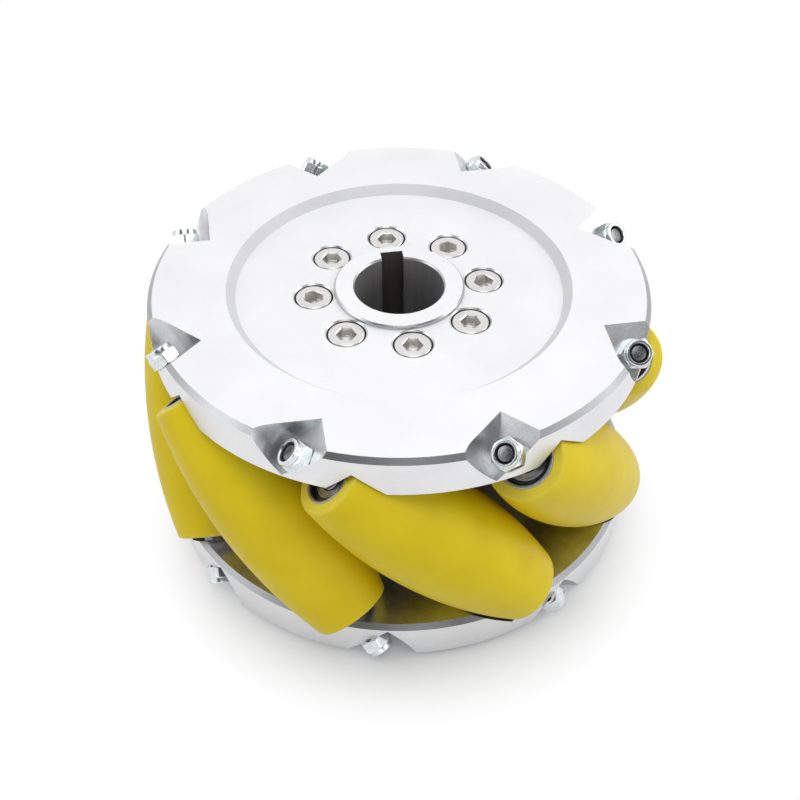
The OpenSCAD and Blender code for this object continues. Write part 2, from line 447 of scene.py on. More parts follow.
@dataclass(frozen=True)
class Polyurethane:
    """Cast polyurethane, turned to its barrel shape.

    It is satin and even, with faint ring marks from the turning. A few pale specks
    are painted glints, and its end edges are lightened as a painted highlight.
    Pitches and spans along the axle are millimetres; the span of the specks is the
    noise that shows as one.
    """

    name: str = "cast_polyurethane_yellow"
    deep: str = "#DEC30E"
    body: str = "#E6CE16"
    # Tone of the painted glints and of the painted highlight on the end edges.
    pale: str = "#E9DC6C"
    rough: Span = (0.38, 0.46)
    ior: float = 1.5
    specular: float = 0.22
    cloud: float = 14.0
    ring_pitch: float = 1.6
    ring_squeeze: float = 0.06
    ring_relief: float = 0.03
    # The pale specks are painted glints.
    speck: float = 0.45
    speck_span: Span = (0.79, 0.83)
    # Span of height along the axle, in mm from the middle, over which the painted highlight on the end
    # edges rises.
    edge: Span = (37.4, 38.5)
    highlight_fade: float = 0.3

    def build(self) -> Material:
        """Makes the material.

        Returns:
            A material whose ring marks and painted edge highlight follow each roller's own axle.
        """
        mat = bpy.data.materials.new(self.name)
        tree = emptied(mat)
        own = add(tree, "ShaderNodeAttribute", attribute_name=AXLE_FRAME, attribute_type="GEOMETRY")
        own = own.outputs["Vector"]
        place = add(tree, COORDINATES).outputs["Object"]
        # Noise that is drawn out across the axle runs round it in rings.
        drawn_out = (self.ring_squeeze, self.ring_squeeze, 1.0)
        ringed = add(tree, MAPPING, {"Vector": own, "Scale": drawn_out})
        rings = add(tree, NOISE, {"Vector": ringed, "Scale": per_mm(self.ring_pitch), "Detail": 2.0})
        cloud = add(tree, NOISE, {"Vector": place, "Scale": per_mm(self.cloud), "Detail": 3.0})
        specks = add(tree, NOISE, {"Vector": place, "Scale": per_mm(self.speck), "Detail": 1.0})
        # Painted glints: the tread turns pale where the speck noise peaks.
        glint_spot = add(tree, RANGE, spans(specks, self.speck_span))
        tone = add(tree, RANGE, spans(cloud, NOISE_SPAN))
        tones = {"Factor": tone, "A": linear(self.deep), "B": linear(self.body)}
        base = add(tree, MIX, tones, data_type="RGBA")
        # Painted highlight: the tread is lightened towards its end edges, where the rounded corner catches
        # the light.
        along = add(tree, "ShaderNodeSeparateXYZ", {0: own}).outputs["Z"]
        reach = add(tree, MATH, {0: along}, operation="ABSOLUTE")
        start, stop = self.edge
        edge_highlight = add(tree, RANGE, spans(reach, (start * MM, stop * MM), (0.0, self.highlight_fade)))
        glint_and_highlight = add(tree, MATH, {0: glint_spot, 1: edge_highlight}, operation="MAXIMUM")
        tones = {"Factor": glint_and_highlight, "A": base, "B": linear(self.pale)}
        colour = add(tree, MIX, tones, data_type="RGBA")
        body = {"IOR": self.ior, "Specular IOR Level": self.specular}
        coat(tree, colour, rings, self.rough, self.ring_relief, body)
        return mat


# A broaching or reaming tool draws its marks out along the wheel's axis.
TOOL_MARKS = (1.0, 1.0, 0.02)

# Bead blasting leaves aluminium matt and even; its grit is drawn coarse enough to show.
BLASTED = GrainedFinish(
    "bead_blasted_aluminium", "#EFEFF2", "#F7F7F9", (0.58, 0.66), 0.35, 0.06, metallic=0.35
)
# The rim is turned after blasting: it is satin, and mirrors what stands before it.
RIM = GrainedFinish("turned_rim", "#E4E4E6", "#EDEDEF", (0.34, 0.40), 0.6, 0.01, metallic=0.85, cloud=12.0)
# The recess wall is blasted too; its darker grey is painted shade, standing in for the wall's shading in
# the recess.
SHADED_RECESS = GrainedFinish("recess_wall_painted_shade", "#CDCDD0", "#D7D7DA", (0.5, 0.6), 0.35, 0.06, metallic=0.1)
# A cutter leaves it greyer and smoother, with a fine sparkle.
MILLED = GrainedFinish("milled_aluminium", "#B4B6B8", "#E0E2E4", (0.30, 0.36), 0.4, 0.12, cloud=9.0)
# The lathe's closer marks leave the hub and the roller cores darker, with a finer sparkle.
TURNED = GrainedFinish("turned_aluminium", "#A0A1A3", "#CBCCCE", (0.28, 0.36), 0.3, 0.12)
# The rim's chamfer is one light pass of the lathe, even and grey.
CHAMFER = GrainedFinish("turned_rim_chamfer", "#A4A6A8", "#ADAFB1", (0.30, 0.33), 0.6, 0.015, cloud=12.0)
# A reamer leaves the bore satin grey, with fine streaks along it.
REAMED = GrainedFinish(
    "reamed_bore", "#9C9A9B", "#B2B0B1", (0.3, 0.36), 0.8, 0.05, metallic=0.6, cloud=4.0, stretch=TOOL_MARKS
)
# A broach scores the keyway along its length; the keyway is coloured darker than the bore.
BROACHED = GrainedFinish(
    "broached_keyway", "#676462", "#767371", (0.34, 0.4), 0.5, 0.05, metallic=0.6, stretch=TOOL_MARKS
)
# Screw heads are turned clean: pale, a little warm, and almost without grain.
STAINLESS = GrainedFinish("stainless_steel", "#DFDDDB", "#E6E4E2", (0.27, 0.30), 0.6, 0.004)
# A broached socket is left dull and holds a little oil.
SOCKET = GrainedFinish("broached_socket", "#D0CDC9", "#DFDCD8", (0.26, 0.32), 0.5, 0.03, metallic=0.9)
# Zinc plate is bright and faintly blue, with the small unevenness of the bath.
ZINC = GrainedFinish("bright_zinc_plate", "#CDD3D5", "#E9EEEF", (0.16, 0.26), 0.6, 0.08, cloud=3.0)
# Axles and spacers are cut from plain rod, which stays dark grey and a little uneven.
STEEL = GrainedFinish("plain_steel", "#6C6E71", "#8E9093", (0.24, 0.34), 0.4, 0.08, cloud=4.0)
# Grinding leaves the races smooth and even; their shields are as bright.
GROUND = GrainedFinish("ground_bearing_steel", "#A6A4A9", "#B2B0B6", (0.24, 0.28), 0.5, 0.01, cloud=6.0)
# The outer race is coloured near black: painted shade for the dark gap that rings each bearing.
SHADED_RACE = GrainedFinish(
    "bearing_race_painted_shade", "#1E1D20", "#2E2D30", (0.25, 0.35), 0.4, 0.05, metallic=0.6, cloud=6.0
)
# Moulded nylon is black and dull, with the faint grain of its mould.
NYLON = GrainedFinish("black_nylon", "#161618", "#242427", (0.42, 0.55), 0.5, 0.1, metallic=0.0)
POLYURETHANE = Polyurethane()

ALUMINIUM = (BLASTED, RIM, SHADED_RECESS, MILLED, TURNED, CHAMFER, REAMED, BROACHED)
STEELS = (STAINLESS, SOCKET, ZINC, STEEL, GROUND, SHADED_RACE)
FINISHES = (*ALUMINIUM, *STEELS, NYLON, POLYURETHANE)


# ---- places


def axle_place(k: int) -> np.ndarray:
    """Roller k's own frame: Z along its axle, X straight out from the wheel's axis.

    Args:
        k: Number of the roller, from 1.

    Returns:
        Matrix of 4 x 4, in metres.
    """
    joint = next(j for j in frame["joints"] if j["name"] == f"roller_{k}_spin")
    centre, along = np.array(joint["pos_m"]), np.array(joint["axis"])
    out = centre / np.linalg.norm(centre)
    along = along / np.linalg.norm(along)
    place = np.eye(4)
    place[:3] = np.stack([out, np.cross(along, out), along, centre], 1)
    return place


def shift(distance: float) -> np.ndarray:
    """A move of distance millimetres along Z."""
    return np.array(Matrix.Translation((0.0, 0.0, distance * MM)), float)


def turn(axis: str, degrees: float) -> np.ndarray:
    """A turn about X, Y or Z."""
    return np.array(Matrix.Rotation(math.radians(degrees), 4, axis))


def end_places(k: int, station: float, twist: float = 0.0) -> list[np.ndarray]:
    """Places at both ends of axle k, station millimetres out, with Z pointing away."""
    return [axle_place(k) @ turn("X", flip) @ shift(station) @ turn("Z", twist) for flip in (0, 180)]


# ---- outlines


def quarter_round(centre: Span, radius: float, count: int = 6) -> Outline:
    """Points (r, h) along a quarter of a circle, from its side up to its top."""
    angles = np.radians(np.linspace(0, 90, count))
    return [(centre[0] + radius * math.cos(a), centre[1] + radius * math.sin(a)) for a in angles]


def soft_ring(inside: float, outside: float, length: float, soft: float) -> Outline:
    """Outline of a plain ring with softened corners.

    Args:
        inside: Radius of its bore.
        outside: Radius of its outside.
        length: Length along the axis, from height 0.
        soft: How far each corner is cut back.

    Returns:
        Points (r, h), once round the section.
    """
    lower = [(inside, soft), (inside + soft, 0.0), (outside - soft, 0.0), (outside, soft)]
    return lower + [(r, length - h) for r, h in reversed(lower)]


def hexagon(flats: float, segments: int) -> np.ndarray:
    """Radius of a hexagon in each direction, with a corner at angle 0.

    r = half the flats / cos(angle to the nearest flat's middle), which is 30
    degrees less the angle to the nearest corner.

    Args:
        flats: Width across the flats.
        segments: Directions round the axis.

    Returns:
        Array of radii.
    """
    angle = np.arange(segments) * 2 * math.pi / segments
    to_corner = (angle + math.pi / 6) % (math.pi / 3) - math.pi / 6
    return flats / 2 / np.cos(math.pi / 6 - np.abs(to_corner))


# ---- pieces


@dataclass
class RimPlates:
    """The two rim plates, with their pockets, notches and recess.

    Faces of the rim and of its chamfer lie at most rim_near and chamfer_near
    inside their radius. The recess wall slopes: it faces in by at least wall_in,
    and up by at most wall_up.
    """

    rim_r: float = 71.0
    rim_chamfer: float = 1.4
    recess_r: float = 49.0
    recess_depth: float = 2.5
    inner_z: float = 26.861
    inner_skin: float = 0.5
    edge: float = 0.14
    rim_near: float = 0.2
    chamfer_near: float = 0.1
    wall_in: float = 0.65
    wall_up: float = 0.75
    finishes: tuple[GrainedFinish, ...] = (BLASTED, MILLED, SHADED_RECESS, CHAMFER, RIM)

    def slots(self, mesh: Mesh) -> np.ndarray:
        """Sorts a plate's faces by how they were made.

        Level faces are blasted, apart from the plate's inner face. The rim, its
        chamfer and the recess wall have finishes of their own. The rest is
        milled: inner face, pockets, notches and holes.

        Args:
            mesh: Mesh of the plate.

        Returns:
            Slot of each face, as its finish's number in finishes.
        """
        face = FaceTable.of(mesh)
        level = (face.level > LEVEL) & (np.abs(face.centre[:, 2]) > self.inner_z + self.inner_skin)
        rim = (face.outward > STRAIGHT) & (face.radius > self.rim_r - self.rim_near)
        mid_wall = self.recess_r - self.recess_depth / 2
        # The recess wall takes the darker grey of painted shade.
        wall = (face.outward < -self.wall_in) & (face.level < self.wall_up)
        wall &= np.abs(face.radius - mid_wall) < self.recess_depth
        chamfer = (face.outward > SLANTED) & (face.level > SLANTED) & ~level
        chamfer &= face.radius > self.rim_r - self.rim_chamfer - self.chamfer_near
        number = [self.finishes.index(finish) for finish in (CHAMFER, SHADED_RECESS, BLASTED, RIM)]
        return np.select([chamfer, wall, level, rim], number, self.finishes.index(MILLED))

    def build(self, mats: Materials) -> Pieces:
        """Makes both plates.

        Args:
            mats: Materials by name.

        Yields:
            Each piece.
        """
        for side in Side:
            node = f"{side.name.lower()}_plate"
            mesh = cad_copy(node)
            smooth(mesh, CAD_SHARP)
            piece = link(mesh, f"rim_plate_{side.name.lower()}", [mats[f.name] for f in self.finishes])
            set_slots(mesh, self.slots(mesh))
            soften(piece, self.edge)
            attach(piece, WHEEL)
            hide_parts(node)
            yield piece


@dataclass
class Hub:
    """The keyed hub with a collar at each end."""

    bore_r: float = 12.7
    bore_near: float = 0.1
    keyway_reach: float = 15.7
    edge: float = 0.12
    finishes: tuple[GrainedFinish, ...] = (BLASTED, TURNED, REAMED, BROACHED)

    def slots(self, mesh: Mesh) -> np.ndarray:
        """Sorts the hub's faces: ends blasted, bore reamed, keyway broached, the rest turned.

        Args:
            mesh: Mesh of the hub.

        Returns:
            Slot of each face, as its finish's number in finishes.
        """
        face = FaceTable.of(mesh)
        upright = face.level < UPRIGHT
        bore = upright & (face.outward < -STRAIGHT) & (np.abs(face.radius - self.bore_r) < self.bore_near)
        keyway = upright & (face.radius < self.keyway_reach)
        number = [self.finishes.index(finish) for finish in (REAMED, BROACHED, BLASTED)]
        return np.select([bore, keyway, face.level > LEVEL], number, self.finishes.index(TURNED))

    def build(self, mats: Materials) -> Pieces:
        """Makes the hub.

        Args:
            mats: Materials by name.

        Yields:
            The one piece.
        """
        mesh = cad_copy("hub")
        smooth(mesh, CAD_SHARP)
        piece = link(mesh, "keyed_hub", [mats[f.name] for f in self.finishes])
        set_slots(mesh, self.slots(mesh))
        soften(piece, self.edge)
        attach(piece, WHEEL)
        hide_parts("hub")
        yield piece


@dataclass
class CapScrews:
    """Socket head cap screws that hold each plate to the hub.

    A fine groove runs round each head's face. Rings at groove_hold and
    mouth_hold lie close beside an edge and keep the flat face's shading even.
    Corners gives, for each screw in turn, where one of its socket's corners
    points, in degrees.
    """

    circle_r: float = 24.5
    seat_z: float = 31.361
    head_r: float = 5.12
    head_h: float = 6.0
    head_round: float = 0.4
    head_break: float = 0.1
    neck: float = 0.2
    shank_r: float = 3.0
    shank: float = 20.0
    tip: float = 0.5
    socket: float = 5.0
    socket_depth: float = 2.8
    socket_break: float = 0.2
    socket_round: float = 0.12
    cone_r: float = 1.0
    cone_depth: float = 0.5
    groove_r: float = 4.25
    groove_depth: float = 0.05
    groove_half: float = 0.15
    groove_hold: float = 0.22
    mouth_gap: float = 0.22
    mouth_hold: float = 0.1
    wall_foot: float = 0.05
    segments: int = 72
    sharp: float = 32.0
    corners: tuple[float, ...] = (6.0, 21.0, -9.0, -9.0, 21.0, -9.0, -9.0, -19.0)

    def outline(self) -> Outline:
        """Outline of a screw: turned outside, and hexagonal inside the socket.

        Returns:
            Points (r, h), from the tip to the socket's floor.
        """
        walls = hexagon(self.socket, self.segments)
        mouth = self.socket / math.sqrt(3) + self.mouth_gap
        top, floor = self.head_h, self.head_h - self.socket_depth
        edge_r = self.head_r - self.head_round
        groove, half, hold = self.groove_r, self.groove_half, self.groove_hold
        rows = [(0.0, -self.shank), (self.shank_r - self.tip, -self.shank)]
        rows += [(self.shank_r, self.tip - self.shank), (self.shank_r, -self.neck)]
        rows += [(self.shank_r + self.neck, 0.0)]
        rows += [(self.head_r - self.head_break, 0.0), (self.head_r, self.head_break)]
        rows += quarter_round((edge_r, top - self.head_round), self.head_round)
        rows += [(groove + hold, top), (groove + half, top), (groove, top - self.groove_depth)]
        rows += [(groove - half, top), (groove - hold, top)]
        rows += [(mouth + self.mouth_hold, top), (mouth, top)]
        rows += [(walls + self.socket_break, top), (walls, top - self.socket_break)]
        rows += [(walls, floor + self.socket_round), (walls - self.socket_round, floor)]
        return rows + [(self.cone_r, floor), (0.0, floor - self.cone_depth)]

    def places(self, side: Side) -> np.ndarray:
        """Places of one side's screws, each with Z out of its head.

        Args:
            side: Side of the wheel.

        Returns:
            One matrix of 4 x 4 a screw, in metres.
        """
        over = turn("X", side.value)
        out = np.array(Matrix.Translation((self.circle_r * MM, 0.0, 0.0)), float)
        step = 360 / len(self.corners)
        places = [
            over @ turn("Z", n * step) @ out @ shift(self.seat_z) @ turn("Z", corner - n * step)
            for n, corner in enumerate(self.corners)
        ]
        return np.array(places)

    def slots(self, mesh: Mesh, places: np.ndarray) -> np.ndarray:
        """Slot 1 for the walls of the sockets, and 0 for the rest.

        Args:
            mesh: Mesh of one side's screws.
            places: Their places.

        Returns:
            Slot of each face.
        """
        centre = FaceTable.of(mesh).centre
        across = np.linalg.norm(centre[:, None, :2] - places[None, :, :2, 3] / MM, axis=2).min(1)
        up = np.abs(centre[:, 2]) - self.seat_z
        foot = self.head_h - self.socket_depth + self.wall_foot
        walls = (up > foot) & (up < self.head_h - self.socket_round)
        return (across < self.socket / math.sqrt(3)) & walls

    def build(self, mats: Materials) -> Pieces:
        """Makes the screws of both sides, a piece for each side.

        Args:
            mats: Materials by name.

        Yields:
            Each piece.
        """
        for side in Side:
            places = self.places(side)
            mesh = turned_mesh(self.outline(), self.segments, Ends.POLES, places, self.sharp)
            name = f"cap_screws_{side.name.lower()}"
            piece = link(mesh, name, [mats[STAINLESS.name], mats[SOCKET.name]])
            set_slots(mesh, self.slots(mesh, places))
            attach(piece, WHEEL)
            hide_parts(f"{side.name.lower()}_screws")
            yield piece


@dataclass
class Treads:
    """Cast treads on their cores.

    Inset is how far the rounding of a corner starts from the end, as a share of
    its size. The bore has a small chamfer at each end, and stands off the core.
    """

    half: float = 38.625
    crown_r: float = 16.5
    end_r: float = 11.0
    core_r: float = 8.0
    core_gap: float = 0.02
    bore_mouth: float = 0.1
    bore_chamfer: float = 0.25
    corner: float = 0.9
    inset: float = 0.85
    corner_steps: int = 7
    rings: int = 72
    segments: int = 128
    sharp: float = 40.0

    def barrel(self, height: np.ndarray) -> np.ndarray:
        """Radius of the barrel at each height, on an arc over the ends and the crown.

        With R the arc's radius, r = sqrt(R^2 - h^2) - (R - crown).

        Args:
            height: Heights from the roller's middle.

        Returns:
            Array of radii.
        """
        rise = self.crown_r - self.end_r
        arc_r = (self.half**2 + rise**2) / (2 * rise)
        return np.sqrt(arc_r**2 - height**2) - (arc_r - self.crown_r)

    def outline(self) -> np.ndarray:
        """Outline of the tread, as an array.

        Each end corner is a quadratic curve from the barrel to the flat end,
        (1 - t)^2 side + 2 t (1 - t) corner + t^2 end.

        Returns:
            Array of points (r, h).
        """
        reach = self.half - self.corner * self.inset
        height = np.linspace(-reach, reach, self.rings)
        side = np.stack([self.barrel(height), height], 1)
        t = np.linspace(0, 1, self.corner_steps)[:, None]
        end = np.array([[self.end_r - self.corner, self.half]])
        corner = np.array([[self.end_r, self.half]])
        curve = (1 - t) ** 2 * side[-1:] + 2 * t * (1 - t) * corner + t**2 * end
        mouth = [self.core_r + self.bore_mouth, self.half]
        bore = [self.core_r + self.core_gap, self.half - self.bore_chamfer]
        upper = np.concatenate([curve[1:], [mouth, bore]])
        lower = upper[::-1] * [1, -1]
        return np.concatenate([side, upper, lower])

    def build(self, mats: Materials) -> Pieces:
        """Makes a tread on each roller.

        Args:
            mats: Materials by name.

        Yields:
            Each piece.
        """
        outline = self.outline()
        for k in ROLLERS:
            mesh = turned_mesh(outline, self.segments, Ends.LOOP, axle_place(k)[None], self.sharp)
            piece = link(mesh, f"cast_tread_{k}", [mats[POLYURETHANE.name]])
            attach(piece, f"roller_{k}")
            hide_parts(f"tread_{k}")
            yield piece


@dataclass
class RollerEnds:
    """What shows at a roller's ends: core, bearing races and shields.

    Core_mouth gives steps out from the bearing's seat and down from the core's
    end. Shield_step gives steps in from the race's land and down from the
    shield's face, across the shield's pressed ring.
    """

    core_half: float = 38.825
    core_r: float = 8.0
    core_soft: float = 0.18
    core_mouth: tuple[Span, ...] = ((0.0, 0.35), (0.12, 0.1), (0.3, 0.0))
    seat_r: float = 7.01
    through_r: float = 6.0
    bearing_s: float = 37.625
    bearing_w: float = 5.0
    outer_r: float = 7.0
    outer_soft: Span = (0.25, 0.07)
    land_r: float = 5.9
    land_break: float = 0.1
    inner_r: float = 3.6
    inner_soft: float = 0.2
    bore_r: float = 2.52
    shield_sink: float = 0.3
    shield_t: float = 0.35
    shield_gap: float = 0.3
    shield_step: tuple[Span, ...] = ((0.45, 0.0), (0.55, 0.12), (0.8, 0.12), (0.9, 0.02))
    segments: int = 96
    sharp: float = 30.0

    def core(self) -> Outline:
        """Outline of the core, a tube with a bearing seat and a soft rim at each end.

        Returns:
            Points (r, h), once round the section.
        """
        end, soft = self.core_half, self.core_soft
        floor = self.bearing_s - self.bearing_w
        half = [(self.through_r, 0.0), (self.through_r, floor), (self.seat_r, floor)]
        half += [(self.seat_r + out, end - down) for out, down in self.core_mouth]
        half += [(self.core_r - soft, end), (self.core_r, end - soft), (self.core_r, 0.0)]
        return half + [(r, -h) for r, h in reversed(half[1:-1])]

    def outer_race(self) -> Outline:
        """Outline of an outer race with a stepped shield in each face.

        Returns:
            Points (r, h), once round the section.
        """
        w, land = self.bearing_w, self.land_r
        soft, mid_soft = self.outer_soft
        tip = self.inner_r + self.shield_gap
        face, back = w - self.shield_sink, w - self.shield_sink - self.shield_t
        upper = [(self.outer_r, w - soft), (self.outer_r - mid_soft, w - mid_soft)]
        upper += [(self.outer_r - soft, w), (land + self.land_break, w), (land, w - self.land_break)]
        upper += [(land, face), *((land - inward, face - down) for inward, down in self.shield_step)]
        upper += [(tip, face), (tip, back), (land, back)]
        return upper + [(r, w - h) for r, h in reversed(upper)]

    def slots(self, mesh: Mesh, places: np.ndarray) -> np.ndarray:
        """Slot 1 for the near-black painted shade on each race, outside its shields.

        Args:
            mesh: Mesh of the races.
            places: Their places, each with Z along the race's axis.

        Returns:
            Slot of each face.
        """
        centre = FaceTable.of(mesh).centre
        away = centre - places[:, None, :3, 3] / MM
        nearest = np.linalg.norm(away, axis=2).argmin(0)
        reach = np.linalg.norm(np.cross(away, places[:, None, :3, 2]), axis=2)
        return reach[nearest, np.arange(len(centre))] > self.land_r

    def build(self, mats: Materials) -> Pieces:
        """Makes each roller's core and races.

        Args:
            mats: Materials by name.

        Yields:
            Each piece.
        """
        outer = self.outer_race()
        inner = soft_ring(self.bore_r, self.inner_r, self.bearing_w, self.inner_soft)
        for k in ROLLERS:
            roller, middle = f"roller_{k}", [axle_place(k)]
            ends = end_places(k, self.bearing_s - self.bearing_w)
            parts = [
                (f"core_tube_{k}", self.core(), middle, TURNED, roller, f"core_{k}", "core"),
                (f"bearing_outer_{k}", outer, ends, GROUND, roller, f"outer_races_{k}", "race"),
                (f"bearing_inner_{k}", inner, ends, GROUND, WHEEL, f"inner_races_{k}", "race"),
            ]
            for name, outline, at, finish, body, node, slot in parts:
                places = np.array(at)
                mesh = turned_mesh(outline, self.segments, Ends.LOOP, places, self.sharp)
                piece = link(mesh, name, [mats[finish.name], mats[SHADED_RACE.name]])
                # Outside its shields the outer race takes the painted shade.
                if outline is outer:
                    set_slots(mesh, self.slots(mesh, places))
                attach(piece, body)
                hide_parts(node)
                yield piece


@dataclass
class Axles:
    """Axles and the spacers threaded on them.

    The end's dome rises dome_share of dome over the chamfer, at the radii in
    dome_rings, and the lathe's centre nib stands from foot_share of it to its
    full height.
    """

    half: float = 52.525
    radius: float = 2.5
    chamfer: float = 0.5
    dome: float = 0.22
    dome_share: float = 0.8
    dome_rings: tuple[float, ...] = (1.6, 1.2, 0.9)
    nib: float = 0.5
    nib_taper: float = 0.8
    foot_share: float = 0.7
    notch_s: float = 40.225
    bearing_s: float = 37.625
    tube_half: float = 32.625
    spacer_r: float = 3.6
    spacer_soft: float = 0.15
    bore_r: float = 2.52
    segments: int = 64
    sharp: float = 30.0

    def axle(self) -> Outline:
        """Outline of an axle, with domed ends and the lathe's small centre nib.

        Over the end's flat radius R the dome follows h = rise (1 - (r / R)^2).

        Returns:
            Points (r, h), from one end of the axis to the other.
        """
        flat, side = self.half - self.dome, self.radius - self.chamfer
        rise = self.dome * self.dome_share
        upper = [(self.radius, flat - self.chamfer), (side, flat)]
        upper += [(r, flat + rise * (1 - (r / side) ** 2)) for r in self.dome_rings]
        upper += [(self.nib, flat + self.dome * self.foot_share)]
        upper += [(self.nib * self.nib_taper, self.half), (0.0, self.half)]
        return [(r, -h) for r, h in reversed(upper)] + upper

    def build(self, mats: Materials) -> Pieces:
        """Makes the axles, a piece each, and the spacers in two pieces.

        Args:
            mats: Materials by name.

        Yields:
            Each piece.
        """
        for k in ROLLERS:
            place = axle_place(k)[None]
            mesh = turned_mesh(self.axle(), self.segments, Ends.POLES, place, self.sharp)
            piece = link(mesh, f"axle_rod_{k}", [mats[STEEL.name]])
            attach(piece, WHEEL)
            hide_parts(f"axle_{k}")
            yield piece
        gap = self.notch_s - self.bearing_s
        ends = [place for k in ROLLERS for place in end_places(k, self.bearing_s)]
        mids = [axle_place(k) @ shift(-self.tube_half) for k in ROLLERS]
        for name, length, places, node in (
            ("end_spacer_rings", gap, ends, "end_spacers"),
            ("spacer_sleeves", 2 * self.tube_half, mids, "spacer_tubes"),
        ):
            ring = soft_ring(self.bore_r, self.spacer_r, length, self.spacer_soft)
            mesh = turned_mesh(ring, self.segments, Ends.LOOP, np.array(places), self.sharp)
            piece = link(mesh, name, [mats[STEEL.name]])
            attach(piece, WHEEL)
            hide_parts(node)
            yield piece


@dataclass
class LockNuts:
    """Lock nuts with a rolled collar over a dark ring.

    Both ends of the hexagon are cut by a cone. Its corners are worn to
    corner_share of their full radius. Edge_in, edge_down and edge_along are
    where the rings beside a flat's curved edge lie. Nuts are free to stand at any
    angle: here it is start, and twist times the axle's number more.
    """

    flats: float = 8.0
    height: float = 5.0
    hex_h: float = 3.4
    corner_share: float = 0.985
    cone: float = 30.0
    face_inset: float = 0.12
    edge_in: float = 0.03
    edge_down: float = 0.02
    edge_along: float = 0.03
    collar_r: float = 3.7
    collar_foot: float = 0.12
    lip: float = 0.45
    lip_round: float = 0.8
    mouth_r: float = 2.74
    mouth_break: float = 0.12
    mouth_sink: float = 0.02
    bore_r: float = 2.52
    bore_break: float = 0.25
    ring_gap: float = 0.02
    ring_break: float = 0.2
    seat_s: float = 48.025
    start: float = 30.0
    twist: float = 25.0
    segments: int = 72
    sharp: float = 20.0
    ring_sharp: float = 30.0

    def outline(self) -> Outline:
        """Outline of a nut: turned, and hexagonal outside.

        Where the radius r follows the hexagon, the cone cuts (r - face) tan(cone)
        off each end, so the flats end in curved edges.

        Returns:
            Points (r, h), once round the section.
        """
        largest = self.flats / math.sqrt(3) * self.corner_share
        side = np.minimum(hexagon(self.flats, self.segments), largest)
        face = self.flats / 2 - self.face_inset
        cut = (side - face) * math.tan(math.radians(self.cone))
        low, top = self.hex_h, self.height
        lip, lip_r = self.lip, self.lip * self.lip_round
        inside, mouth = self.collar_r - lip, self.mouth_r
        rows = [(self.bore_r, self.bore_break), (self.bore_r + self.bore_break, 0.0), (face, 0.0)]
        rows += [(side - self.edge_in, cut - self.edge_down), (side, cut + self.edge_along)]
        rows += [(side, low - cut - self.edge_along), (side - self.edge_in, low - cut + self.edge_down)]
        rows += [(face, low), (self.collar_r + self.collar_foot, low)]
        rows += [(self.collar_r, low + self.collar_foot)]
        rows += quarter_round((self.collar_r - lip_r, top - lip_r), lip_r)
        rows += [(mouth + self.mouth_break, top - self.mouth_sink)]
        rows += [(mouth, top - self.mouth_sink - self.mouth_break), (mouth, top - lip)]
        return rows + [(inside, top - lip), (inside, low), (self.bore_r, low)]

    def ring(self) -> Outline:
        """Outline of the dark ring inside a nut's collar.

        Returns:
            Points (r, h), once round the section.
        """
        low, high = self.hex_h, self.height - self.lip
        out, near = self.collar_r - self.lip - self.ring_gap, self.bore_r
        upper = [(out, high), (near + self.bore_break, high), (near, high - self.ring_break)]
        return [(near, low), (out, low), *upper]

    def build(self, mats: Materials) -> Pieces:
        """Makes the sixteen nuts as one piece and their rings as another.

        Args:
            mats: Materials by name.

        Yields:
            Each piece.
        """
        turns = {k: self.start + self.twist * k for k in ROLLERS}
        places = np.array([p for k in ROLLERS for p in end_places(k, self.seat_s, turns[k])])
        for outline, sharp, name, finish, node, slot in (
            (self.outline(), self.sharp, "lock_nut_set", ZINC, "lock_nuts", "nut"),
            (self.ring(), self.ring_sharp, "nut_ring_set", NYLON, "nut_inserts", "insert"),
        ):
            mesh = turned_mesh(outline, self.segments, Ends.LOOP, places, sharp)
            piece = link(mesh, name, [mats[finish.name]])
            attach(piece, WHEEL)
            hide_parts(node)
            yield piece


# ---- studio


@dataclass(frozen=True)
class SoftLamp:
    """A round soft lamp. Its place and size are millimetres."""

    name: str
    place: Triple
    size: float
    watts: float

    def hang(self) -> None:
        """Hangs the lamp, aimed at the wheel."""
        lamp = bpy.data.lights.new(self.name, "AREA")
        lamp.shape = "DISK"
        lamp.size = self.size * MM
        lamp.energy = self.watts
        holder = bpy.data.objects.new(self.name, lamp)
        holder.location = Vector(self.place) * MM
        holder.rotation_euler = (-holder.location).to_track_quat("-Z", "Y").to_euler()
        bpy.context.scene.collection.objects.link(holder)


